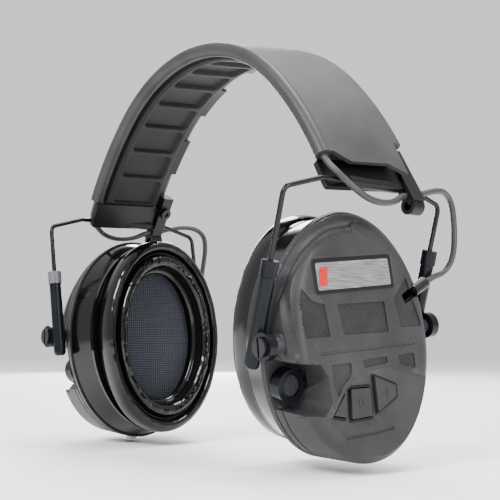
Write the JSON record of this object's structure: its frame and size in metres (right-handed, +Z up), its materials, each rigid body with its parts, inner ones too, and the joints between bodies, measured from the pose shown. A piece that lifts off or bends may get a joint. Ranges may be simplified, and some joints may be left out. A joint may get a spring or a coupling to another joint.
{
  "type": "earmuff hearing protector",
  "caption": "Over-the-head electronic earmuff: padded sprung headband, folding wire bails, sliding sleeves, tilting oval cups with cushioned seals, and a link cable between the cups.",
  "frame": {"origin": "underside of the headband's pad at the crown, mid-width, where it rests on the head", "axes": "+Z up, -Y towards the wearer's front, +X towards the wearer's left ear"},
  "size_m": [0.228, 0.119, 0.2171],
  "materials": {
    "shell_rubberised": "soft-touch rubberised coating",
    "gloss_shell": "polished black",
    "band_skin": "moulded, fine grain",
    "pad_rubber": "moulded, matte",
    "spring_steel": "brushed",
    "wire_steel": "dark oxide with bright wear",
    "screw_steel": "black",
    "cable_jacket": "satin",
    "trim_plastic": "moulded",
    "collar_plastic": "moulded",
    "sleeve_plastic": "satin gloss",
    "seal_vinyl": "glossy black vinyl",
    "mesh_fabric": "open navy mesh over foam",
    "mic_foam": "open-cell foam",
    "capsule_metal": "satin",
    "badge_chrome": "polished plate with a red bar",
    "key_rubber": "matte",
    "board": "solder mask",
    "cell_wrap": "printed film"
  },
  "bodies": {
    "headband": {"band_cover": "band_skin", "band_pad": "pad_rubber", "band_spring": "spring_steel", "cable_in_band": "cable_jacket", "clip_screws": "screw_steel", "left_cable_clip": "trim_plastic", "left_cable_crossover": "cable_jacket", "left_cable_loop": "cable_jacket", "left_end_block": "trim_plastic", "pad_clips": "trim_plastic", "right_cable_clip": "trim_plastic", "right_cable_crossover": "cable_jacket", "right_cable_loop": "cable_jacket", "right_end_block": "trim_plastic"},
    "left_bail": {"left_bail_wire": "wire_steel"},
    "left_yoke": {"left_front_sleeve": "sleeve_plastic", "left_rear_sleeve": "sleeve_plastic", "left_sleeve_collars": "collar_plastic"},
    "left_cup": {"badge_plate": "badge_chrome", "circuit_board": "board", "left_cable_gland": "trim_plastic", "left_inner_shell": "gloss_shell", "left_liner": "mesh_fabric", "left_mic_capsule": "capsule_metal", "left_mic_ring": "trim_plastic", "left_outer_shell": "shell_rubberised", "left_pivot_screws": "screw_steel", "left_seal": "seal_vinyl", "left_seal_plate": "gloss_shell", "left_speaker": "trim_plastic", "left_windscreen": "mic_foam"},
    "right_bail": {"right_bail_wire": "wire_steel"},
    "right_yoke": {"right_front_sleeve": "sleeve_plastic", "right_rear_sleeve": "sleeve_plastic", "right_sleeve_collars": "collar_plastic"},
    "right_cup": {"aux_jack": "capsule_metal", "battery_1": "cell_wrap", "battery_2": "cell_wrap", "battery_tray": "trim_plastic", "lower_battery_contact": "spring_steel", "right_cable_gland": "trim_plastic", "right_inner_shell": "gloss_shell", "right_liner": "mesh_fabric", "right_mic_capsule": "capsule_metal", "right_mic_ring": "trim_plastic", "right_outer_shell": "shell_rubberised", "right_pivot_screws": "screw_steel", "right_seal": "seal_vinyl", "right_seal_plate": "gloss_shell", "right_speaker": "trim_plastic", "right_windscreen": "mic_foam", "upper_battery_contact": "spring_steel"},
    "minus_key": {"button_minus": "key_rubber"},
    "zero_key": {"button_zero": "key_rubber"},
    "plus_key": {"button_plus": "key_rubber"},
    "door": {"battery_door": "shell_rubberised"}
  },
  "joints": [
    {"name": "left_fold", "type": "hinge", "parent": "headband", "child": "left_bail", "pos_m": [0.10283, 0, -0.07598], "axis": [0, 1, 0], "range_deg": [-10, 12], "deforming": ["left_cable_loop"]},
    {"name": "left_height", "type": "slide", "parent": "left_bail", "child": "left_yoke", "axis": [-0.2672, 0, -0.9636], "range_m": [-0.008, 0.012]},
    {"name": "left_tilt", "type": "hinge", "parent": "left_yoke", "child": "left_cup", "pos_m": [0.09104, 0, -0.14432], "axis": [0.0146, 0.9949, 0.1], "range_deg": [-8, 8]},
    {"name": "right_fold", "type": "hinge", "parent": "headband", "child": "right_bail", "pos_m": [-0.10283, 0, -0.07598], "axis": [0, -1, 0], "range_deg": [-10, 12], "deforming": ["right_cable_loop"]},
    {"name": "right_height", "type": "slide", "parent": "right_bail", "child": "right_yoke", "axis": [0.1788, 0, -0.9839], "range_m": [-0.008, 0.012]},
    {"name": "right_tilt", "type": "hinge", "parent": "right_yoke", "child": "right_cup", "pos_m": [-0.09728, 0, -0.14511], "axis": [0, -1, 0], "range_deg": [-8, 8]},
    {"name": "press_minus", "type": "slide", "parent": "left_cup", "child": "minus_key", "axis": [-0.9949, 0.0244, -0.0981], "range_m": [0, 0.001], "stiffness_N_per_m": 1500, "springref_m": -0.0006},
    {"name": "press_zero", "type": "slide", "parent": "left_cup", "child": "zero_key", "axis": [-0.9949, 0.0244, -0.0981], "range_m": [0, 0.001], "stiffness_N_per_m": 1500, "springref_m": -0.0006},
    {"name": "press_plus", "type": "slide", "parent": "left_cup", "child": "plus_key", "axis": [-0.9949, 0.0244, -0.0981], "range_m": [0, 0.001], "stiffness_N_per_m": 1500, "springref_m": -0.0006},
    {"name": "battery_door_hinge", "type": "hinge", "parent": "right_cup", "child": "door", "pos_m": [-0.11218, 0, -0.1784], "axis": [0, -1, 0], "range_deg": [0, 95]}
  ]
}
